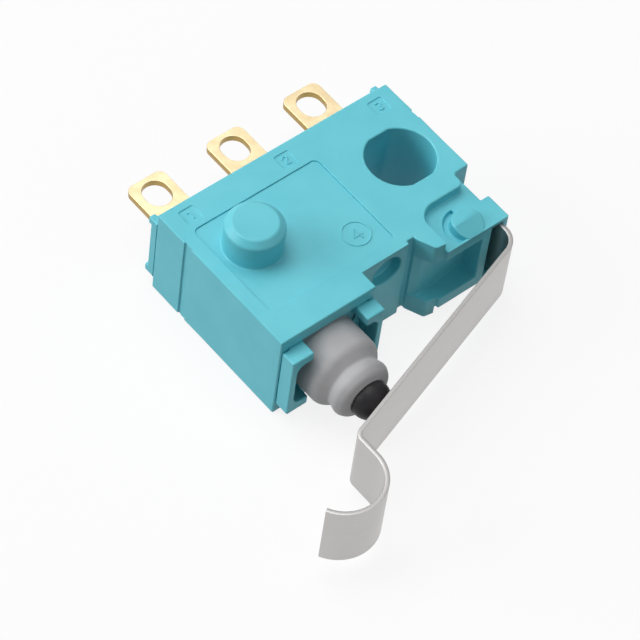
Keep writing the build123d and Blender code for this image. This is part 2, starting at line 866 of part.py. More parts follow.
# Coil spring from the bottom of the rod's bore to the pusher's collar
with BuildPart() as plunger_spring:
    coil_start = front_y - rod_bore_end + coil_wire_r + seat_gap
    coil_end = front_y + collar_start - coil_wire_r - seat_gap
    coil_length = coil_end - coil_start
    with BuildLine() as coil_path:
        Helix(
            pitch=coil_length / coil_turns,
            height=coil_length,
            radius=coil_r,
            center=(plunger_x, coil_start, mid_z),
            direction=(0, 1, 0),
        )
    with BuildSketch(Plane(origin=coil_path.line @ 0, z_dir=coil_path.line % 0)):
        RegularPolygon(coil_wire_r, coil_wire_sides)
    sweep(is_frenet=True)
plunger_spring.part.label = "plunger_spring"
export_step(plunger_spring.part, "parts/plunger_spring.step")
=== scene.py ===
"""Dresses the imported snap-action switch for its picture.

It adds the finishes, the rounded mouldings and terminals with their marks, the resin, boot, tip,
lever and coil, and then the floor, the light and the camera. Lengths are in millimetres, and become
metres where a mesh is made.
"""
import json
import math

import bmesh
import bpy
import numpy as np
from mathutils import Matrix, Vector


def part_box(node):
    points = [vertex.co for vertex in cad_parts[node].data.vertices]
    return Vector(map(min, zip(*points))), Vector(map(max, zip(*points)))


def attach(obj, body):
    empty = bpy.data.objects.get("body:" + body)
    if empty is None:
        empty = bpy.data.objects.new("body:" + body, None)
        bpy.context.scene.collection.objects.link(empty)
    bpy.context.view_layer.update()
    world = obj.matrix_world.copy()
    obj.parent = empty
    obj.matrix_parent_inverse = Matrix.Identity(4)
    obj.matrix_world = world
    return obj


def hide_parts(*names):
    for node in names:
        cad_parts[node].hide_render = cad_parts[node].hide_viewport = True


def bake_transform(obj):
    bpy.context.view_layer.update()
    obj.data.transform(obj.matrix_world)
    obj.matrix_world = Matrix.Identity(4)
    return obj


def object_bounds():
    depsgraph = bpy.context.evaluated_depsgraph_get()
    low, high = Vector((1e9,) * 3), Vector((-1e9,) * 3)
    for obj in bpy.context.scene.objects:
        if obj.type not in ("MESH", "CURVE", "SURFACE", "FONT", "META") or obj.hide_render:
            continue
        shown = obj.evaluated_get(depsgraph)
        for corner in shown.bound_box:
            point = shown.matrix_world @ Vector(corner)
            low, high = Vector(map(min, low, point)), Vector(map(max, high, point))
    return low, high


bl_info = {
    "name": "Hook lever switch",
    "version": (1, 0, 0),
    "blender": (4, 5, 0),
    "location": "View3D > Sidebar > Switch",
    "description": "Adds the finishes and the fine pieces of a sealed snap-action switch",
    "category": "Object",
}

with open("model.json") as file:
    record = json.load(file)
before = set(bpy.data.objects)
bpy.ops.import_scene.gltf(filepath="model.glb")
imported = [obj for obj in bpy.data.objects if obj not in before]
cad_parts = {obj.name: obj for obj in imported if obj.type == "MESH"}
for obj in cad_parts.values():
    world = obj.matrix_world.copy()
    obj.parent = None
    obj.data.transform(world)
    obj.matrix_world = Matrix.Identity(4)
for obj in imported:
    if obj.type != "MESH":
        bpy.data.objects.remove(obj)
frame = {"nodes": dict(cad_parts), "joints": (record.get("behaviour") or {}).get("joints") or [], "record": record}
CAD_LOW, CAD_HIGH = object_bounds()
MM = 0.001


# Places read from the frame

def low(node):
    """Lowest corner of a node, in millimetres."""
    return np.array(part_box(node)[0]) / MM


def high(node):
    """Highest corner of a node, in millimetres."""
    return np.array(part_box(node)[1]) / MM


LEFT = low("case")[0]
TOP = high("case")[2]
# The cheeks beside the boot stand out this far from the front of the case
CHEEK = 0.9
FRONT = low("front_frame")[1] + CHEEK
# The lid's face lies this far below the case's
LID_SUNK = 0.07
LID_TOP = TOP - LID_SUNK
LID_LOW, LID_HIGH = low("lid"), high("lid")
CAP_LOW, CAP_HIGH = low("plunger_cap"), high("plunger_cap")
# Middle of the plunger as (x, z), and the lever's hinge as (x, y)
PLUNGER = np.array([(CAP_LOW[0] + CAP_HIGH[0]) / 2, (CAP_LOW[2] + CAP_HIGH[2]) / 2])
SWING = next(joint for joint in frame["joints"] if joint["name"] == "lever_swing")
PIVOT = np.array(SWING["pos_m"][:2]) / MM


# Sizes and colours that a user would change

class SwitchSizes(bpy.types.PropertyGroup):
    """Sizes of the pieces that are made here, in millimetres."""

    edge: bpy.props.FloatProperty(
        name="Moulded edge", description="Radius on the moulded edges, in mm",
        default=0.1, min=0)
    pressed_edge: bpy.props.FloatProperty(
        name="Pressed edge", description="Radius on the edges of pressed metal, in mm",
        default=0.03, min=0)
    lever_thickness: bpy.props.FloatProperty(
        name="Lever thickness", description="Thickness of the lever strip, in mm",
        default=0.25, min=0.05)
    mark_size: bpy.props.FloatProperty(
        name="Mark size", description="Side of the sunk square at a terminal, in mm",
        default=0.92, min=0.2)
    mark_depth: bpy.props.FloatProperty(
        name="Mark depth", description="Depth of the sunk squares, in mm",
        default=0.06, min=0)
    boot_wall: bpy.props.FloatProperty(
        name="Boot wall", description="Thickness of the boot's rubber, in mm",
        default=0.37, min=0.05)
    coil_wire: bpy.props.FloatProperty(
        name="Coil wire", description="Radius of the coil spring's wire, in mm",
        default=0.06, min=0.01)


class SwitchColours(bpy.types.PropertyGroup):
    """Colours of the finishes, each as two sRGB hex values that the surface drifts between."""

    moulding: bpy.props.StringProperty(
        name="Moulding", description="Turquoise PBT", default="#5EC6D5")
    moulding_pale: bpy.props.StringProperty(
        name="Moulding, paler", description="Turquoise PBT where it is paler",
        default="#66CCDA")
    rubber: bpy.props.StringProperty(
        name="Rubber", description="Grey silicone of the boot", default="#ACACAE")
    rubber_pale: bpy.props.StringProperty(
        name="Rubber, paler", description="Grey silicone where talc clings",
        default="#B6B6B8")
    tip: bpy.props.StringProperty(
        name="Tip", description="Black acetal of the plunger's tip", default="#19171A")
    tip_pale: bpy.props.StringProperty(
        name="Tip, paler", description="Black acetal where it is rubbed", default="#232123")
    lever: bpy.props.StringProperty(
        name="Lever", description="Stainless strip", default="#B8B6B4")
    lever_pale: bpy.props.StringProperty(
        name="Lever, paler", description="Stainless strip between the rolling lines",
        default="#C3C1C0")
    lever_cut: bpy.props.StringProperty(
        name="Lever, cut edge", description="Stainless strip where it was cut",
        default="#979695")
    gilt: bpy.props.StringProperty(
        name="Gilt", description="Gilt flash of the terminals", default="#CFBC95")
    gilt_pale: bpy.props.StringProperty(
        name="Gilt, paler", description="Gilt flash where it is thicker", default="#DDCBA5")
    gilt_cut: bpy.props.StringProperty(
        name="Gilt, cut edge", description="Gilt flash over the sheared walls", default="#B5995F")


def sizes():
    """The sizes in use."""
    return bpy.context.scene.switch_sizes


def colours():
    """The colours in use."""
    return bpy.context.scene.switch_colours


# Materials

def linear(code):
    """Linear colour of an sRGB hex value."""
    parts = [int(code[i:i + 2], 16) / 255 for i in (1, 3, 5)]
    return [c / 12.92 if c <= 0.04045 else ((c + 0.055) / 1.055) ** 2.4 for c in parts] + [1.0]


def add(tree, kind, settings=None, links=None):
    """Add a node with its settings and its linked inputs, and give it back."""
    node = tree.nodes.new(kind)
    for key, value in (settings or {}).items():
        if key in node.inputs:
            node.inputs[key].default_value = value
        else:
            setattr(node, key, value)
    for key, source in (links or {}).items():
        tree.links.new(source, node.inputs[key])
    return node


def blank(name):
    """A material with an empty node tree but for its shader and output."""
    material = bpy.data.materials.new(name)
    material.use_nodes = True
    tree = material.node_tree
    tree.nodes.clear()
    shader = add(tree, "ShaderNodeBsdfPrincipled")
    output = add(tree, "ShaderNodeOutputMaterial")
    tree.links.new(shader.outputs[0], output.inputs["Surface"])
    return material, tree, shader


def per_metre(size_mm):
    """Noise scale whose features are about this size."""
    return 1.0 / (size_mm * MM)


def grain(tree, shader, size_mm, height_mm):
    """Give the shader a bump from fine noise, with features of one size and height."""
    place = add(tree, "ShaderNodeTexCoord")
    noise = add(tree, "ShaderNodeTexNoise",
                {"Scale": per_metre(size_mm), "Detail": 3.0, "Roughness": 0.6},
                {"Vector": place.outputs["Object"]})
    bump = add(tree, "ShaderNodeBump", {"Strength": 1.0, "Distance": height_mm * MM},
               {"Height": noise.outputs["Fac"]})
    tree.links.new(bump.outputs[0], shader.inputs["Normal"])


def shades(tree, first, second, size_mm):
    """Slow drift between two colours over the surface, in patches of about one size."""
    place = add(tree, "ShaderNodeTexCoord")
    noise = add(tree, "ShaderNodeTexNoise", {"Scale": per_metre(size_mm), "Detail": 4.0},
                {"Vector": place.outputs["Object"]})
    ramp = add(tree, "ShaderNodeValToRGB", links={"Fac": noise.outputs["Fac"]})
    ramp.color_ramp.elements[0].position = 0.35
    ramp.color_ramp.elements[0].color = linear(first)
    ramp.color_ramp.elements[1].position = 0.65
    ramp.color_ramp.elements[1].color = linear(second)
    return ramp.outputs["Color"]


def sheared(tree, base, edge, flat_up):
    """Colour of a pressed strip: its own on the rolled faces, the edge colour where it was cut.

    The rolled faces look up when flat_up is true, and sideways when it isn't. One colour gives way
    to the other as the normal's height goes from 0.55 to 0.85 of its length.
    """
    place = add(tree, "ShaderNodeNewGeometry")
    parts = add(tree, "ShaderNodeSeparateXYZ", links={0: place.outputs["Normal"]})
    height = add(tree, "ShaderNodeMath", {"operation": "ABSOLUTE"}, {0: parts.outputs["Z"]})
    cut = add(tree, "ShaderNodeMapRange", {"From Min": 0.55, "From Max": 0.85},
              {"Value": height.outputs[0]})
    if flat_up:
        cut.inputs["To Min"].default_value = 1.0
        cut.inputs["To Max"].default_value = 0.0
    mix = add(tree, "ShaderNodeMixRGB", {"Color2": linear(edge)},
              {"Fac": cut.outputs[0], "Color1": base})
    return mix.outputs[0]


def moulded_pbt():
    """Glass-filled PBT, injection moulded: satin, with a fine spark-eroded grain."""
    material, tree, shader = blank("moulded_pbt_turquoise")
    colour = shades(tree, colours().moulding, colours().moulding_pale, size_mm=2.5)
    tree.links.new(colour, shader.inputs["Base Color"])
    # A broad soft sheen, so that side faces pick up the white of the studio
    shader.inputs["Roughness"].default_value = 0.48
    shader.inputs["IOR"].default_value = 1.56
    # Spark-eroded pits of 0.03 mm would be lost, so they are drawn three times as wide
    grain(tree, shader, size_mm=0.09, height_mm=0.004)
    return material


def silicone_rubber():
    """Grey silicone rubber, moulded and talc-dry: a broad dull sheen over a very fine grain."""
    material, tree, shader = blank("moulded_silicone_grey")
    colour = shades(tree, colours().rubber, colours().rubber_pale, size_mm=1.2)
    tree.links.new(colour, shader.inputs["Base Color"])
    shader.inputs["Roughness"].default_value = 0.62
    shader.inputs["Sheen Weight"].default_value = 0.12
    shader.inputs["Sheen Roughness"].default_value = 0.5
    # Talc of 0.02 mm is drawn at three times its size, the least that shows
    grain(tree, shader, size_mm=0.06, height_mm=0.003)
    return material


def moulded_black():
    """Black acetal tip, moulded: nearly black with a soft satin gloss."""
    material, tree, shader = blank("moulded_acetal_black")
    colour = shades(tree, colours().tip, colours().tip_pale, size_mm=0.6)
    tree.links.new(colour, shader.inputs["Base Color"])
    shader.inputs["Roughness"].default_value = 0.42
    shader.inputs["IOR"].default_value = 1.48
    shader.inputs["Specular IOR Level"].default_value = 0.2
    # Shallow flow marks, a little wider than real ones so that they show
    grain(tree, shader, size_mm=0.12, height_mm=0.003)
    return material


def moulded_natural():
    """Undyed acetal, moulded: milky white, for the sliding pieces inside."""
    material, tree, shader = blank("moulded_acetal_natural")
    tree.links.new(shades(tree, "#E6E2D6", "#EDEAE0", size_mm=0.8), shader.inputs["Base Color"])
    shader.inputs["Roughness"].default_value = 0.4
    shader.inputs["Subsurface Weight"].default_value = 0.15
    shader.inputs["Subsurface Scale"].default_value = 0.3 * MM
    return material


def sealing_resin():
    """Black epoxy, poured and cured: glossy, with a gentle wave from its flow."""
    material, tree, shader = blank("poured_epoxy_black")
    tree.links.new(shades(tree, "#15181B", "#1C2023", size_mm=1.5), shader.inputs["Base Color"])
    shader.inputs["Roughness"].default_value = 0.18
    grain(tree, shader, size_mm=1.6, height_mm=0.03)
    return material


def rolled_stainless():
    """Stainless spring strip, cold rolled: a soft mirror drawn out along the strip."""
    material, tree, shader = blank("rolled_stainless_strip")
    place = add(tree, "ShaderNodeUVMap")
    # Rolling lines 0.03 mm apart across the strip, and 3 mm long: finer ones wouldn't show
    scaled = add(tree, "ShaderNodeMapping", {"Scale": (0.35, 30.0, 1.0)},
                 {"Vector": place.outputs["UV"]})
    lines = add(tree, "ShaderNodeTexNoise", {"Scale": 1.0, "Detail": 5.0, "Roughness": 0.65},
                {"Vector": scaled.outputs[0]})
    ramp = add(tree, "ShaderNodeValToRGB", links={"Fac": lines.outputs["Fac"]})
    ramp.color_ramp.elements[0].position = 0.3
    ramp.color_ramp.elements[0].color = linear(colours().lever)
    ramp.color_ramp.elements[1].position = 0.7
    ramp.color_ramp.elements[1].color = linear(colours().lever_pale)
    colour = sheared(tree, ramp.outputs["Color"], colours().lever_cut, flat_up=False)
    tree.links.new(colour, shader.inputs["Base Color"])
    rough = add(tree, "ShaderNodeMapRange", {"To Min": 0.3, "To Max": 0.42},
                {"Value": lines.outputs["Fac"]})
    tree.links.new(rough.outputs[0], shader.inputs["Roughness"])
    shader.inputs["Metallic"].default_value = 1.0
    bump = add(tree, "ShaderNodeBump", {"Strength": 0.35, "Distance": 0.002 * MM},
               {"Height": lines.outputs["Fac"]})
    tree.links.new(bump.outputs[0], shader.inputs["Normal"])
    return material


def drawn_steel():
    """Spring wire and leaf, drawn: cool grey metal with a close sheen."""
    material, tree, shader = blank("drawn_spring_steel")
    tree.links.new(shades(tree, "#8E9094", "#A0A2A6", size_mm=0.3), shader.inputs["Base Color"])
    shader.inputs["Metallic"].default_value = 1.0
    shader.inputs["Roughness"].default_value = 0.3
    return material


def gilt_flash():
    """Brass with a thin gilt flash: pale gold, slightly uneven, softly bright."""
    material, tree, shader = blank("gilt_flash_on_brass")
    colour = shades(tree, colours().gilt, colours().gilt_pale, size_mm=0.7)
    colour = sheared(tree, colour, colours().gilt_cut, flat_up=True)
    tree.links.new(colour, shader.inputs["Base Color"])
    shader.inputs["Metallic"].default_value = 1.0
    shader.inputs["Roughness"].default_value = 0.36
    # The rolled brass ripples finely under its plating; narrower ripples wouldn't show
    grain(tree, shader, size_mm=0.18, height_mm=0.004)
    return material


def rolled_copper():
    """Beryllium copper blade, rolled: reddish, with a satin surface."""
    material, tree, shader = blank("rolled_beryllium_copper")
    tree.links.new(shades(tree, "#C98F63", "#D69E73", size_mm=0.5), shader.inputs["Base Color"])
    shader.inputs["Metallic"].default_value = 1.0
    shader.inputs["Roughness"].default_value = 0.32
    return material


def headed_silver():
    """Silver alloy rivet, headed: bright, nearly white."""
    material, tree, shader = blank("headed_silver_rivet")
    tree.links.new(shades(tree, "#DAD8D2", "#E6E4DF", size_mm=0.2), shader.inputs["Base Color"])
    shader.inputs["Metallic"].default_value = 1.0
    shader.inputs["Roughness"].default_value = 0.25
    return material


def shown(tree):
    """One for light that goes to the eye, straight or by way of gloss or glass, and else zero."""
    path = add(tree, "ShaderNodeLightPath")
    seen = add(tree, "ShaderNodeMath", {"operation": "MAXIMUM"},
               {0: path.outputs["Is Camera Ray"], 1: path.outputs["Is Glossy Ray"]})
    either = add(tree, "ShaderNodeMath", {"operation": "MAXIMUM"},
                 {0: seen.outputs[0], 1: path.outputs["Is Transmission Ray"]})
    return either.outputs[0]


def matt_floor():
    """White card: plain white to the eye but for a trace of shadow, and dull in what it returns."""
    material = bpy.data.materials.new("matt_white_card")
    material.use_nodes = True
    tree = material.node_tree
    tree.nodes.clear()
    returned = add(tree, "ShaderNodeBsdfDiffuse", {"Color": linear("#AEAEAE")})
    card = add(tree, "ShaderNodeBsdfDiffuse", {"Color": linear("#F9F9F9")})
    glow = add(tree, "ShaderNodeEmission", {"Color": linear("#FFFFFF"), "Strength": 1.0})
    # The share of plain card in the white is what lets the shadow show
    white = add(tree, "ShaderNodeMixShader", {"Fac": 0.15},
                {1: glow.outputs[0], 2: card.outputs[0]})
    mixed = add(tree, "ShaderNodeMixShader", links={
        "Fac": shown(tree), 1: returned.outputs[0], 2: white.outputs[0]})
    output = add(tree, "ShaderNodeOutputMaterial")
    tree.links.new(mixed.outputs[0], output.inputs["Surface"])
    return material


FINISHES = {}


def finish(name):
    """The finish of that name, made once."""
    makers = {
        "turquoise_moulding": moulded_pbt,
        "grey_rubber": silicone_rubber,
        "black_plastic": moulded_black,
        "pale_plastic": moulded_natural,
        "sealing_resin": sealing_resin,
        "stainless_lever": rolled_stainless,
        "spring_steel": drawn_steel,
        "gilt_brass": gilt_flash,
        "spring_copper": rolled_copper,
        "contact_silver": headed_silver,
    }
    if name not in FINISHES:
        FINISHES[name] = makers[name]()
    return FINISHES[name]


# Meshes

def grid_mesh(name, points, uv=None, close_u=False, close_v=False):
    """Mesh from a grid of points in mm, shape (rows, columns, 3), with quads between neighbours."""
    rows, columns = points.shape[:2]
    mesh = bpy.data.meshes.new(name)
    index = np.arange(rows * columns).reshape(rows, columns)
    u = np.arange(rows if close_u else rows - 1)
    v = np.arange(columns if close_v else columns - 1)
    u0, v0 = np.meshgrid(u, v, indexing="ij")
    u1, v1 = (u0 + 1) % rows, (v0 + 1) % columns
    quads = np.stack([index[u0, v0], index[u1, v0], index[u1, v1], index[u0, v1]], -1)
    mesh.from_pydata((points.reshape(-1, 3) * MM).tolist(), [], quads.reshape(-1, 4).tolist())
    if uv is not None:
        layer = mesh.uv_layers.new(name="UVMap")
        corners = np.empty(len(mesh.loops), np.int32)
        mesh.loops.foreach_get("vertex_index", corners)
        layer.data.foreach_set("uv", uv.reshape(-1, 2)[corners].ravel())
    mesh.validate()
    return mesh


def weld(mesh, distance=0.0004):
    """Merge points nearer than a distance in mm, drop empty faces and turn all faces outwards."""
    form = bmesh.new()
    form.from_mesh(mesh)
    bmesh.ops.remove_doubles(form, verts=form.verts, dist=distance * MM)
    bmesh.ops.dissolve_degenerate(form, edges=form.edges, dist=distance * MM)
    bmesh.ops.recalc_face_normals(form, faces=form.faces)
    form.to_mesh(mesh)
    form.free()


def smooth(mesh, angle):
    """Shade a mesh smooth, with its edges sharp above an angle in degrees."""
    mesh.polygons.foreach_set("use_smooth", np.ones(len(mesh.polygons), bool))
    mesh.set_sharp_from_angle(angle=math.radians(angle))
    mesh.update()


def link(name, mesh, slot):
    """Put a mesh into the scene as a piece with its finish."""
    piece = bpy.data.objects.new(name, mesh)
    bpy.context.scene.collection.objects.link(piece)
    mesh.materials.clear()
    mesh.materials.append(finish(slot))
    return piece


def arc(centre, radius, start, end, count):
    """Points on a circle: the centre plus the radius times cosine and sine, angles in degrees."""
    angle = np.radians(np.linspace(start, end, count))
    return np.stack([centre[0] + radius * np.cos(angle), centre[1] + radius * np.sin(angle)], -1)


def rounded(points, radii, steps, closed=False):
    """Path whose corners are arcs of so many points.

    An arc meets both runs at the radius times the tangent of half the turn from its corner.
    """
    points = np.asarray(points, float)
    count = len(points)
    inner = range(count) if closed else range(1, count - 1)
    radii = np.broadcast_to(radii, len(inner))
    runs = [] if closed else [points[:1]]
    for i, radius in zip(inner, radii):
        ahead = points[i] - points[i - 1]
        after = points[(i + 1) % count] - points[i]
        ahead, after = ahead / np.linalg.norm(ahead), after / np.linalg.norm(after)
        turn = math.atan2(ahead[0] * after[1] - ahead[1] * after[0], ahead @ after)
        reach = radius * math.tan(abs(turn) / 2)
        side = np.array([-ahead[1], ahead[0]]) * math.copysign(1, turn)
        centre = points[i] - ahead * reach + side * radius
        angle = np.linspace(0, turn, steps)[:, None]
        start = -side * radius
        runs.append(centre + start * np.cos(angle)
                    + np.array([-start[1], start[0]]) * np.sin(angle))
    return np.vstack(runs if closed else runs + [points[-1:]])


def along(path, spacing):
    """Path with its long runs divided, so that no two points are further apart than the spacing."""
    steps = np.linalg.norm(np.diff(path, axis=0), axis=1)
    parts = []
    for start, end, step in zip(path[:-1], path[1:], steps):
        count = max(1, math.ceil(step / spacing))
        share = np.linspace(0, 1, count, endpoint=False)[:, None]
        parts.append(start + (end - start) * share)
    return np.vstack(parts + [path[-1:]])


def soft_section(width, height, edge, steps=4):
    """Rectangle of (across, up) points whose corners are quarter circles of the edge radius."""
    angle = np.linspace(0, math.pi / 2, steps)
    corners = [np.stack([sx * (width / 2 - edge) + edge * np.cos(angle + k * math.pi / 2),
                         sz * (height / 2 - edge) + edge * np.sin(angle + k * math.pi / 2)], -1)
               for k, (sx, sz) in enumerate([(1, 1), (-1, 1), (-1, -1), (1, -1)])]
    return np.vstack(corners)


def strip(name, path, section, middle, closed=False):
    """Carry a section of (across, up) points along a level path.

    A point is the path's point plus across times the path's level normal, and its height is the
    middle plus up. The UV map holds the length gone, and across plus up.
    """
    if closed:
        ahead = np.roll(path, -1, 0) - np.roll(path, 1, 0)
    else:
        ahead = np.gradient(path, axis=0)
    ahead = ahead / np.linalg.norm(ahead, axis=1)[:, None]
    across = np.stack([-ahead[:, 1], ahead[:, 0]], -1)
    points = np.empty((len(path), len(section), 3))
    points[:, :, :2] = path[:, None] + across[:, None] * section[None, :, :1]
    points[:, :, 2] = middle + section[:, 1]
    gone = np.concatenate([[0], np.cumsum(np.linalg.norm(np.diff(path, axis=0), axis=1))])
    if not closed:
        # Both ends are closed by a row that lies on the path's own end point
        ends = points[[0, -1]].mean(1, keepdims=True) + 0 * points[[0, -1]]
        points = np.concatenate([ends[:1], points, ends[1:]])
        gone = gone[[0, *range(len(path)), len(path) - 1]]
    uv = np.stack(np.broadcast_arrays(gone[:, None], section.sum(1)), -1)
    mesh = grid_mesh(name, points, uv=uv, close_u=closed, close_v=True)
    weld(mesh, distance=0.0002)
    return mesh


def turned(name, profile, steps):
    """Turn a profile of (radius, y) rows about the plunger: radius x cosine in X, sine in Z."""
    profile = np.asarray(profile, float)
    turn = np.linspace(0, 2 * math.pi, steps, endpoint=False)
    radius, depth = profile[:, :1], profile[:, 1:]
    points = np.stack([PLUNGER[0] + radius * np.cos(turn), depth + 0 * turn,
                       PLUNGER[1] + radius * np.sin(turn)], -1)
    mesh = grid_mesh(name, points, close_v=True)
    weld(mesh)
    return mesh


def prism(outline, bottom, top):
    """Upright block on a closed outline, in mm, as corners and faces."""
    count = len(outline)
    corners = [(x, y, z) for z in (bottom, top) for x, y in outline]
    faces = [list(range(count))[::-1], list(range(count, 2 * count))]
    faces += [[i, (i + 1) % count, count + (i + 1) % count, count + i] for i in range(count)]
    return corners, faces


def square(centre, side, corner):
    """Closed path round a square with rounded corners."""
    half = side / 2
    points = np.array([(-half, -half), (half, -half), (half, half), (-half, half)]) + centre
    return rounded(points, corner, steps=6, closed=True)


def evaluated(name, mesh, modifiers):
    """Apply modifiers, given as (kind, settings), to a mesh through an object that is dropped."""
    holder = bpy.data.objects.new(name, mesh)
    bpy.context.scene.collection.objects.link(holder)
    for kind, settings in modifiers:
        modifier = holder.modifiers.new(kind.lower(), kind)
        for key, value in settings.items():
            setattr(modifier, key, value)
    seen = bpy.context.evaluated_depsgraph_get()
    final = bpy.data.meshes.new_from_object(
        holder.evaluated_get(seen), preserve_all_data_layers=True, depsgraph=seen)
    bpy.data.objects.remove(holder)
    return final


# Rounded copies of CAD nodes

# Edges that turn more than the first angle are rounded, and a side has a corner past the second
SHARP = math.radians(32)
GENTLE = math.radians(40)
# The most of the room beside an edge that its rounding takes, so that two never meet
SHARE = 0.45
# The most that the rounding changes from one edge to the next, per length of the shorter one
TAPER = 0.12
# Smaller changes than this aren't passed on
SETTLED = 1e-6

# Points nearer than this are one
MERGE = 0.0005
# Points within this height of a plane lie in it
LEVEL = 0.01
# Where along an edge the strips beside it are measured, and the least gap and share that count
PROBES = (0.15, 0.5, 0.85)
LEAST = 0.001
# Triangles that turn less than this are one flat face, in radians
FLAT = math.radians(0.6)

# Where the top and bottom faces are cut across, through the middle of their holes. Such a face lies
# this near to the very top or bottom, and its normal's height is more than this
SECTIONS = {"lid": (0.0,), "case": (0.0, 3.2)}
SKIN, UPRIGHT = 0.1, 0.99
# Points this near to a cut lie on it
ON_CUT = 0.0002

# The lid meets its window in a fine groove, so the rounding at both rims is no more than this. A
# rim is this far inside the lid's box, or outside it, and this far down from the lid's face
WINDOW_EDGE = 0.035
RIM_INSIDE, RIM_OUTSIDE, RIM_DOWN = 0.16, 0.06, 0.1
# The lid's copy grows by this on each side: the clearance of 0.02 mm, less a trace
LID_GAP = 0.018


def at_window(point):
    """Whether a point is at the rim of the lid or of its window."""
    across = np.array(point)[:2]
    inside = np.minimum(across - LID_LOW[:2], LID_HIGH[:2] - across).min()
    return -RIM_OUTSIDE < inside < RIM_INSIDE and point[2] > LID_TOP - RIM_DOWN


def straightness(first, second):
    """Turn between two edges that share a corner, in radians."""
    shared = next(corner for corner in first.verts if corner in second.verts)
    ahead = shared.co - first.other_vert(shared).co
    after = second.other_vert(shared).co - shared.co
    return ahead.angle(after, math.pi)


def side_room(loop, forward, width):
    """How far the side next to an edge runs on, within a gentle turn, before its next corner.

    Room past twice the width makes no difference, so it isn't measured further.
    """
    def step(place):
        return place.link_loop_next if forward else place.link_loop_prev

    side = step(loop)
    if straightness(loop.edge, side.edge) < GENTLE:
        return 2 * width
    total = side.edge.calc_length()
    while total < 2 * width:
        after = step(side)
        if after is loop or straightness(side.edge, after.edge) > GENTLE:
            break
        side = after
        total += side.edge.calc_length()
    return total


def strip_room(edges, width):
    """Width of the narrowest flat strip that each sharp edge borders on.

    A perpendicular from a point of one edge to another that lies in the plane of one of its faces
    crosses such a strip, if its foot falls inside the other edge.
    """
    starts = np.array([edge.verts[0].co for edge in edges])
    runs = np.array([edge.verts[1].co for edge in edges]) - starts
    squares = (runs * runs).sum(1)
    room = np.full(len(edges), 2.0 * width)
    for i, edge in enumerate(edges):
        for face in edge.link_faces:
            normal = np.array(face.normal)
            level = np.abs((starts - starts[i]) @ normal) < LEVEL
            level &= np.abs(runs @ normal) < LEVEL
            for share in PROBES:
                away = starts[i] + share * runs[i] - starts
                foot = (away * runs).sum(1) / squares
                gap = np.linalg.norm(away - foot[:, None] * runs, axis=1)
                across = level & (foot > LEAST) & (foot < 1 - LEAST) & (gap > LEAST)
                room[across] = np.minimum(room[across], gap[across])
                if across.any():
                    room[i] = min(room[i], gap[across].min())
    return room


def widths(form, width):
    """Rounding of each sharp edge: just under half of its room, changing slowly along a run."""
    edges = [edge for edge in form.edges
             if len(edge.link_faces) == 2 and edge.calc_face_angle() > SHARP]
    found = {}
    for edge, strip_width in zip(edges, strip_room(edges, width)):
        least = min(side_room(loop, forward, width)
                    for loop in edge.link_loops for forward in (True, False))
        found[edge] = min(width, SHARE * least, SHARE * strip_width)
        if at_window((edge.verts[0].co + edge.verts[1].co) / 2):
            found[edge] = min(found[edge], WINDOW_EDGE)
    waiting = list(found)
    while waiting:
        edge = waiting.pop()
        for corner in edge.verts:
            for other in corner.link_edges:
                if other not in found or other is edge or straightness(edge, other) > GENTLE:
                    continue
                most = found[edge] + TAPER * min(edge.calc_length(), other.calc_length())
                if found[other] > most + SETTLED:
                    found[other] = most
                    waiting.append(other)
    return found


def merged(mesh):
    """The mesh for editing, with points that lie on each other made one."""
    form = bmesh.new()
    form.from_mesh(mesh)
    bmesh.ops.remove_doubles(form, verts=form.verts, dist=MERGE)
    return form


def hollowed(mesh, cutters):
    """The mesh with hollows cut in, for cutters given as corners and faces."""
    tools = []
    for corners, faces in cutters:
        tool_mesh = bpy.data.meshes.new("tool")
        tool_mesh.from_pydata(corners, [], faces)
        tool = bpy.data.objects.new("tool", tool_mesh)
        bpy.context.scene.collection.objects.link(tool)
        tools.append(tool)
    if tools:
        mesh = evaluated("hollowed", mesh, [
            ("BOOLEAN", {"operation": "DIFFERENCE", "solver": "EXACT", "object": tool})
            for tool in tools])
    for tool in tools:
        bpy.data.objects.remove(tool)
    return mesh


def cut_across(form, place):
    """Cut the top and bottom faces at a level line, which leaves them no hole of their own."""
    flat = [face for face in form.faces if abs(face.normal.z) > UPRIGHT
            and abs(face.calc_center_median().z - TOP / 2) > TOP / 2 - SKIN]
    parts = {part for face in flat for part in (*face.verts, *face.edges)}
    cut = bmesh.ops.bisect_plane(form, geom=[*parts, *flat], dist=ON_CUT,
                                 plane_co=(0, place, 0), plane_no=(0, 1, 0))
    for part in cut["geom_cut"]:
        if isinstance(part, bmesh.types.BMEdge):
            part.seam = True


def rounded_copy(node, width, cutters):
    """Copy of a CAD node: hollows cut in, flat faces joined, and edges rounded as there is room."""
    mesh = frame["nodes"][node].data.copy()
    mesh.transform(Matrix.Scale(1 / MM, 4))
    form = merged(mesh)
    form.to_mesh(mesh)
    form.free()
    mesh = hollowed(mesh, cutters)
    form = merged(mesh)
    for place in SECTIONS.get(node, ()):
        cut_across(form, place)
    bmesh.ops.dissolve_limit(form, angle_limit=FLAT, verts=form.verts, edges=form.edges,
                             delimit={"SEAM"})
    form.normal_update()
    weight = form.edges.layers.float.new("bevel_weight_edge")
    for edge, size in widths(form, width).items():
        edge[weight] = size / width
    form.to_mesh(mesh)
    form.free()
    mesh.polygons.foreach_set("use_smooth", np.ones(len(mesh.polygons), bool))
    # Flat faces keep their own normals, so that only the rounded edges shade round
    final = evaluated(node, mesh, [
        ("BEVEL", {"width": width, "segments": 3, "limit_method": "WEIGHT",
                   "use_clamp_overlap": False}),
        ("WEIGHTED_NORMAL", {"mode": "FACE_AREA", "weight": 100}),
    ])
    final.transform(Matrix.Scale(MM, 4))
    final.name = node + "_rounded"
    return final


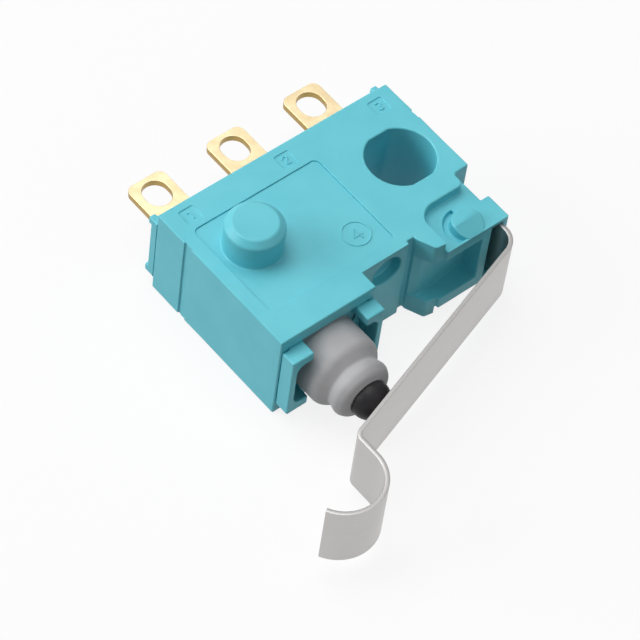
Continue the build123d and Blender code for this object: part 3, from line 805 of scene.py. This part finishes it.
def round_off(node, width, slot, cutters=()):
    """Stand a rounded copy of a node in its place, on the same body."""
    piece = link(node + "_piece", rounded_copy(node, width, cutters), slot)
    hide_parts(node)
    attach(piece, "housing")
    return piece


# Operators

TERMINALS = ("terminal_common", "terminal_no", "terminal_nc")

# Middles of the terminals' marks and of the lid's mark, as (x, y)
MARKS = ((-10.96, 3.22), (-4.87, 3.20), (1.27, 3.17))
LID_MARK = (-4.98, -2.45)

# Raised lines: their width, the rounding of their edges and of the figures' corners
LINE, LINE_EDGE, FIGURE_CORNER = 0.085, 0.02, 0.03
# The longest stretch of a figure between two points
FIGURE_STEP = 0.05

# Middle lines of the figures, in a field one unit high about its centre
FIGURES = {
    "1": [(-0.16, 0.3), (0.04, 0.5), (0.04, -0.5)],
    "2": [(-0.27, 0.22), (-0.22, 0.42), (0.0, 0.5), (0.24, 0.4), (0.26, 0.14), (-0.27, -0.5),
          (0.3, -0.5)],
    "3": [(-0.25, 0.36), (0.0, 0.5), (0.24, 0.36), (0.2, 0.1), (-0.04, 0.02), (0.24, -0.08),
          (0.28, -0.34), (0.0, -0.5), (-0.27, -0.36)],
    "4": [(0.16, -0.5), (0.16, 0.5), (-0.34, -0.2), (0.36, -0.2)],
}


def figure(name, height, centre, section, floor):
    """Mesh of a figure that stands on a floor: its middle line, with the section carried along."""
    path = rounded(np.array(FIGURES[name]) * height + centre, FIGURE_CORNER, steps=4)
    return strip("figure", along(path, FIGURE_STEP), section, floor)


class SWITCH_OT_mouldings(bpy.types.Operator):
    """Round the edges of the turquoise mouldings and sink the squares of their marks"""

    bl_idname = "switch.mouldings"
    bl_label = "Mouldings"

    def execute(self, context):
        side, depth = sizes().mark_size, sizes().mark_depth
        corner, clear = 0.12, 0.2
        cutters = {"case": [prism(square(centre, side, corner), TOP - depth, TOP + clear)
                            for centre in MARKS]}
        pieces = {
            node: round_off(node, sizes().edge, "turquoise_moulding", cutters.get(node, ()))
            for node in ("case", "lid", "front_frame", "terminal_base")}
        # The lid is spread about its middle until it all but meets the walls of its window
        middle = Vector((LID_LOW + LID_HIGH) / 2 * MM)
        spread = 1 + 2 * LID_GAP / (LID_HIGH - LID_LOW)
        pieces["lid"].data.transform(
            Matrix.Translation(middle) @ Matrix.Diagonal((spread[0], spread[1], 1, 1))
            @ Matrix.Translation(-middle))
        return {"FINISHED"}


class SWITCH_OT_marks(bpy.types.Operator):
    """Raise the terminal figures in their squares, and the cavity mark on the lid"""

    bl_idname = "switch.marks"
    bl_label = "Marks"

    def execute(self, context):
        # The figures in the squares stay this far below the case's face
        below = 0.01
        depth = sizes().mark_depth
        section = soft_section(LINE, 2 * (depth - below), LINE_EDGE, steps=3)
        height = 0.5
        pieces = [figure(name, height, centre, section, TOP - depth)
                  for name, centre in zip("123", MARKS)]
        rise, height, radius = 0.05, 0.8, 0.75
        section = soft_section(LINE, 2 * rise, LINE_EDGE, steps=3)
        ring = arc(LID_MARK, radius, 0, 360, 73)[:-1]
        pieces.append(strip("ring", ring, section, LID_TOP, closed=True))
        pieces.append(figure("4", height, LID_MARK, section, LID_TOP))
        form = bmesh.new()
        for mesh in pieces:
            form.from_mesh(mesh)
        mesh = bpy.data.meshes.new("marks")
        form.to_mesh(mesh)
        form.free()
        smooth(mesh, angle=50)
        piece = link("marks", mesh, "turquoise_moulding")
        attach(piece, "housing")
        return {"FINISHED"}


class SWITCH_OT_terminals(bpy.types.Operator):
    """Round the pressed edges of the three terminals"""

    bl_idname = "switch.terminals"
    bl_label = "Terminals"

    def execute(self, context):
        for node in TERMINALS:
            round_off(node, sizes().pressed_edge, "gilt_brass")
        return {"FINISHED"}


class SWITCH_OT_resin(bpy.types.Operator):
    """Pour the resin: a level pool that climbs a little at its walls and at the terminals"""

    bl_idname = "switch.resin"
    bl_label = "Resin"

    def execute(self, context):
        box_low, box_high = low("resin_seal"), high("resin_seal")
        x = np.linspace(box_low[0], box_high[0], 340)[:, None]
        z = np.linspace(box_low[2], box_high[2], 90)[None, :]
        edge = np.minimum(np.minimum(x - box_low[0], box_high[0] - x),
                          np.minimum(z - box_low[2], box_high[2] - z))
        climb, fall = 0.1, 0.13
        # Half of a tab's width and half of its thickness
        half_width, half_thickness = 1.175, 0.2
        # Height is the level plus the climb times exp(-distance / fall), for the nearest wall
        rise = np.exp(-edge / fall)
        for tab in TERMINALS:
            middle_x, middle_z = high(tab)[0] - half_width, low(tab)[2] + half_thickness
            aside = np.maximum(np.abs(x - middle_x) - half_width, 0)
            over = np.maximum(np.abs(z - middle_z) - half_thickness, 0)
            rise = np.maximum(rise, np.exp(-np.hypot(aside, over) / fall))
        # The highest points stay just inside the trough
        inset = 0.05
        y = box_high[1] - climb * (1 + inset) + climb * rise
        grid = np.stack(np.broadcast_arrays(x, y, z), -1)
        # The skirt goes straight down into the trough from all four sides, to a flat bottom
        rim = np.pad(grid, ((2, 2), (2, 2), (0, 0)), mode="edge")
        rim[[0, 1, -2, -1], :, 1] = box_low[1]
        rim[:, [0, 1, -2, -1], 1] = box_low[1]
        middle = (box_low + box_high) / 2
        rim[[0, -1]] = rim[:, [0, -1]] = [middle[0], box_low[1], middle[2]]
        mesh = grid_mesh("resin_pool", rim)
        weld(mesh, distance=0.0002)
        smooth(mesh, angle=60)
        piece = link("resin_pool", mesh, "sealing_resin")
        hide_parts("resin_seal")
        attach(piece, "housing")
        return {"FINISHED"}


class SWITCH_OT_boot(bpy.types.Operator):
    """Turn the rubber boot: skirt, shoulder, waist, bulge and the flat end round the tip"""

    bl_idname = "switch.boot"
    bl_label = "Boot"

    def execute(self, context):
        seat, end = high("boot")[1], low("boot")[1]
        skirt = (high("boot")[2] - low("boot")[2]) / 2
        wall = sizes().boot_wall
        # Outside corners as (radius, distance in front of the case), each with its own rounding
        front = FRONT - end
        mouth, rim, waist, bulge = 0.84, 1.1, 1.56, 1.72
        corners = [(skirt, 0), (skirt, 1.7), (waist, 2.28), (bulge, 2.84), (1.5, front - 0.14),
                   (rim, front), (mouth, front)]
        outside = rounded(corners, [0.7, 0.2, 0.45, 0.45, 0.02], steps=12)
        spacing = 0.12
        outside = along(np.stack([outside[:, 0], FRONT - outside[:, 1]], -1), spacing)
        inside = [(mouth, end + wall), (rim, end + wall), (1.6 - wall, FRONT - 2.8),
                  (waist - wall, FRONT - 2.2), (skirt - wall, FRONT - 1.5),
                  (skirt - wall, seat)]
        inner_corner = 0.08
        inside = rounded(inside, inner_corner, steps=5)
        profile = np.vstack([[(skirt, seat)], outside, inside, [(skirt, seat)]])
        mesh = turned("boot_skin", profile, steps=160)
        smooth(mesh, angle=55)
        piece = link("boot_skin", mesh, "grey_rubber")
        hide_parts("boot")
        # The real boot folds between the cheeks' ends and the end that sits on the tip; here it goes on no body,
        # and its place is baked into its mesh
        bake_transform(piece)
        return {"FINISHED"}


class SWITCH_OT_tip(bpy.types.Operator):
    """Turn the plunger's black tip: a neck, a short straight and a dome"""

    bl_idname = "switch.tip"
    bl_label = "Tip"

    def execute(self, context):
        front, rear = CAP_LOW[1], CAP_HIGH[1]
        radius = (CAP_HIGH[2] - CAP_LOW[2]) / 2
        neck, shoulder = 0.78, FRONT - 3.4
        edge, corner = 0.06, 0.02
        # The crown is half a ball: radius x sine of the slope, and radius x (1 - cosine)
        slope = np.linspace(0, math.pi / 2, 28)
        crown = np.stack([radius * np.sin(slope), front + radius * (1 - np.cos(slope))], -1)
        side = rounded([crown[-1], (radius, shoulder), (neck, shoulder), (neck, rear), (0, rear)],
                       [edge, corner, corner], steps=5)
        mesh = turned("tip_dome", np.vstack([crown, side[1:]]), steps=96)
        smooth(mesh, angle=40)
        piece = link("tip_dome", mesh, "black_plastic")
        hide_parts("plunger_cap")
        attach(piece, "plunger")
        return {"FINISHED"}


def lever_path():
    """Middle line of the lever: an arc about the pivot, rounded leg and arm, and the hook's arc."""
    half = sizes().lever_thickness / 2
    curl = high("lever")[0] - half - PIVOT[0]
    slope = math.radians(17.5)
    hook_radius, hook_out = 2.125, 0.12
    hook = np.array([LEFT + hook_out, low("lever")[1] + half + hook_radius])
    # The arm's middle line passes the dome's centre at its radius, the gap and half a thickness
    dome, gap = 1.1, 0.03
    reach = dome + gap + half
    arm = np.array([PLUNGER[0] + reach * math.sin(slope),
                    CAP_LOW[1] + dome - reach * math.cos(slope)])
    leg = PIVOT[0] + curl
    corners = [(leg, PIVOT[1])]
    corners += [(x, arm[1] + (x - arm[0]) * math.tan(slope)) for x in (leg, hook[0])]
    corners += [tuple(hook)]
    leg_bend, hook_bend = 1.125, 0.475
    curl_from, hook_to = 215, -151.5
    return np.vstack([
        arc(PIVOT, curl, curl_from, 0, 40)[:-1],
        rounded(corners, [leg_bend, hook_bend], steps=22)[:-1],
        arc(hook - [hook_radius, 0], hook_radius, 0, hook_to, 64),
    ])


class SWITCH_OT_lever(bpy.types.Operator):
    """Carry the strip's section along the lever's middle line"""

    bl_idname = "switch.lever"
    bl_label = "Lever"

    def execute(self, context):
        bottom, top = low("lever")[2], high("lever")[2]
        section = soft_section(sizes().lever_thickness, top - bottom, sizes().pressed_edge)
        spacing = 0.35
        path = along(lever_path(), spacing)
        mesh = strip("lever_strip", path, section, (bottom + top) / 2)
        smooth(mesh, angle=40)
        piece = link("lever_strip", mesh, "stainless_lever")
        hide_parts("lever")
        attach(piece, "lever_arm")
        return {"FINISHED"}


class SWITCH_OT_coil(bpy.types.Operator):
    """Wind the coil spring under the plunger"""

    bl_idname = "switch.coil"
    bl_label = "Coil"

    def execute(self, context):
        spring_low, spring_high = low("plunger_spring"), high("plunger_spring")
        wire = sizes().coil_wire
        radius = (spring_high[0] - spring_low[0]) / 2 - wire
        turns, steps = 8, 28
        share = np.linspace(0, 1, turns * steps + 1)
        angle = share * turns * 2 * math.pi
        start, end = spring_low[1] + wire, spring_high[1] - wire
        # Helix: radius times cosine and sine of the turn, while the height rises evenly
        line = np.stack([PLUNGER[0] + radius * np.cos(angle), start + share * (end - start),
                         PLUNGER[1] + radius * np.sin(angle)], -1)
        out = np.stack([np.cos(angle), 0 * angle, np.sin(angle)], -1)
        ring = np.linspace(0, 2 * math.pi, 10, endpoint=False)[:, None]
        points = line[:, None] + wire * (np.cos(ring) * out[:, None]
                                         + np.sin(ring) * np.array([0, 1, 0]))
        ends = line[[0, -1], None] + 0 * points[[0, -1]]
        mesh = grid_mesh("coil_wire", np.concatenate([ends[:1], points, ends[1:]]), close_v=True)
        weld(mesh, distance=0.0001)
        smooth(mesh, angle=60)
        piece = link("coil_wire", mesh, "spring_steel")
        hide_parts("plunger_spring")
        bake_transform(piece)
        return {"FINISHED"}


class SWITCH_OT_inner(bpy.types.Operator):
    """Give every node that stays its finish"""

    bl_idname = "switch.inner"
    bl_label = "Inner pieces"

    def execute(self, context):
        for entry in frame["record"]["subparts"]:
            for held in frame["nodes"][entry["node"]].material_slots:
                held.material = finish(entry["material_slot"])
        return {"FINISHED"}


# Lamps: name, place from the middle of the switch and side of the square in metres, and watts
LAMPS = (
    ("key", (-0.025, 0.12, 0.33), 0.30, 0.90),
    ("side", (-0.26, 0.20, 0.14), 0.22, 0.70),
    ("front", (0.10, -0.25, 0.25), 0.30, 0.20),
)
# Light that the studio's walls give off, as a share of white
FILL = 0.05


class SWITCH_OT_stage(bpy.types.Operator):
    """Floor, lights and the camera at the picture's angle"""

    bl_idname = "switch.stage"
    bl_label = "Stage"

    def execute(self, context):
        scene = context.scene
        scene.view_settings.view_transform = "Standard"
        reach, below = 900.0, 0.02
        floor_mesh = grid_mesh("floor", np.array([
            [(x, y, -below) for y in (-reach, reach)] for x in (-reach, reach)]))
        floor_mesh.flip_normals()
        floor = bpy.data.objects.new("floor", floor_mesh)
        scene.collection.objects.link(floor)
        floor_mesh.materials.append(matt_floor())

        world = bpy.data.worlds.new("studio")
        scene.world = world
        world.use_nodes = True
        tree = world.node_tree
        tree.nodes.clear()
        fill = add(tree, "ShaderNodeBackground", {"Color": linear("#FFFFFF"), "Strength": FILL})
        white = add(tree, "ShaderNodeBackground", {"Color": linear("#FFFFFF"), "Strength": 1.0})
        mixed = add(tree, "ShaderNodeMixShader", links={
            "Fac": shown(tree), 1: fill.outputs[0], 2: white.outputs[0]})
        output = add(tree, "ShaderNodeOutputWorld")
        tree.links.new(mixed.outputs[0], output.inputs["Surface"])

        middle = (CAD_LOW + CAD_HIGH) / 2
        for name, place, size, power in LAMPS:
            lamp = bpy.data.lights.new(name, "AREA")
            lamp.shape = "SQUARE"
            lamp.size = size
            lamp.energy = power
            holder = bpy.data.objects.new(name, lamp)
            scene.collection.objects.link(holder)
            holder.location = middle + Vector(place)
            holder.rotation_euler = (middle - holder.location).to_track_quat("-Z", "Y").to_euler()

        # Camera fitted to the picture: direction, roll, distance, the point it aims at, and the
        # focal length in pixels of a picture 640 wide
        azimuth, elevation, roll = (math.radians(a) for a in (46.603, 53.068, 8.764))
        distance = 178.29 * MM
        aim = Vector((-8.342, -4.095, 2.961)) * MM
        focal, picture = 3595.5, 640
        ahead = Vector((math.sin(azimuth) * math.cos(elevation),
                        math.cos(azimuth) * math.cos(elevation), -math.sin(elevation)))
        level = ahead.cross(Vector((0, 0, 1))).normalized()
        upright = level.cross(ahead)
        right = level * math.cos(roll) + upright * math.sin(roll)
        up = upright * math.cos(roll) - level * math.sin(roll)
        data = bpy.data.cameras.new("camera")
        data.sensor_width = 36.0
        data.lens = data.sensor_width * focal / picture
        data.clip_start = 0.01
        camera = bpy.data.objects.new("camera", data)
        scene.collection.objects.link(camera)
        turn = Matrix((right, up, -ahead)).transposed().to_4x4()
        camera.matrix_world = Matrix.Translation(aim - ahead * distance) @ turn
        scene.camera = camera
        return {"FINISHED"}


OPERATORS = (
    SWITCH_OT_inner,
    SWITCH_OT_mouldings,
    SWITCH_OT_marks,
    SWITCH_OT_terminals,
    SWITCH_OT_resin,
    SWITCH_OT_boot,
    SWITCH_OT_tip,
    SWITCH_OT_lever,
    SWITCH_OT_coil,
    SWITCH_OT_stage,
)


class SWITCH_PT_panel(bpy.types.Panel):
    """Sizes, colours and steps of the switch"""

    bl_label = "Switch"
    bl_idname = "SWITCH_PT_panel"
    bl_space_type = "VIEW_3D"
    bl_region_type = "UI"
    bl_category = "Switch"

    def draw(self, context):
        for group in (context.scene.switch_sizes, context.scene.switch_colours):
            for name in group.bl_rna.properties.keys():
                if name not in ("rna_type", "name"):
                    self.layout.prop(group, name)
        for operator in OPERATORS:
            self.layout.operator(operator.bl_idname)


CLASSES = (SwitchSizes, SwitchColours, *OPERATORS, SWITCH_PT_panel)


def register():
    """Register the classes and hang the settings on the scene."""
    for cls in CLASSES:
        bpy.utils.register_class(cls)
    bpy.types.Scene.switch_sizes = bpy.props.PointerProperty(type=SwitchSizes)
    bpy.types.Scene.switch_colours = bpy.props.PointerProperty(type=SwitchColours)


def unregister():
    """Take everything out again."""
    del bpy.types.Scene.switch_sizes
    del bpy.types.Scene.switch_colours
    for cls in reversed(CLASSES):
        bpy.utils.unregister_class(cls)


def main():
    """Build the whole picture."""
    register()
    for operator in OPERATORS:
        group, name = operator.bl_idname.split(".")
        getattr(getattr(bpy.ops, group), name)()


if __name__ == "__main__":
    main()
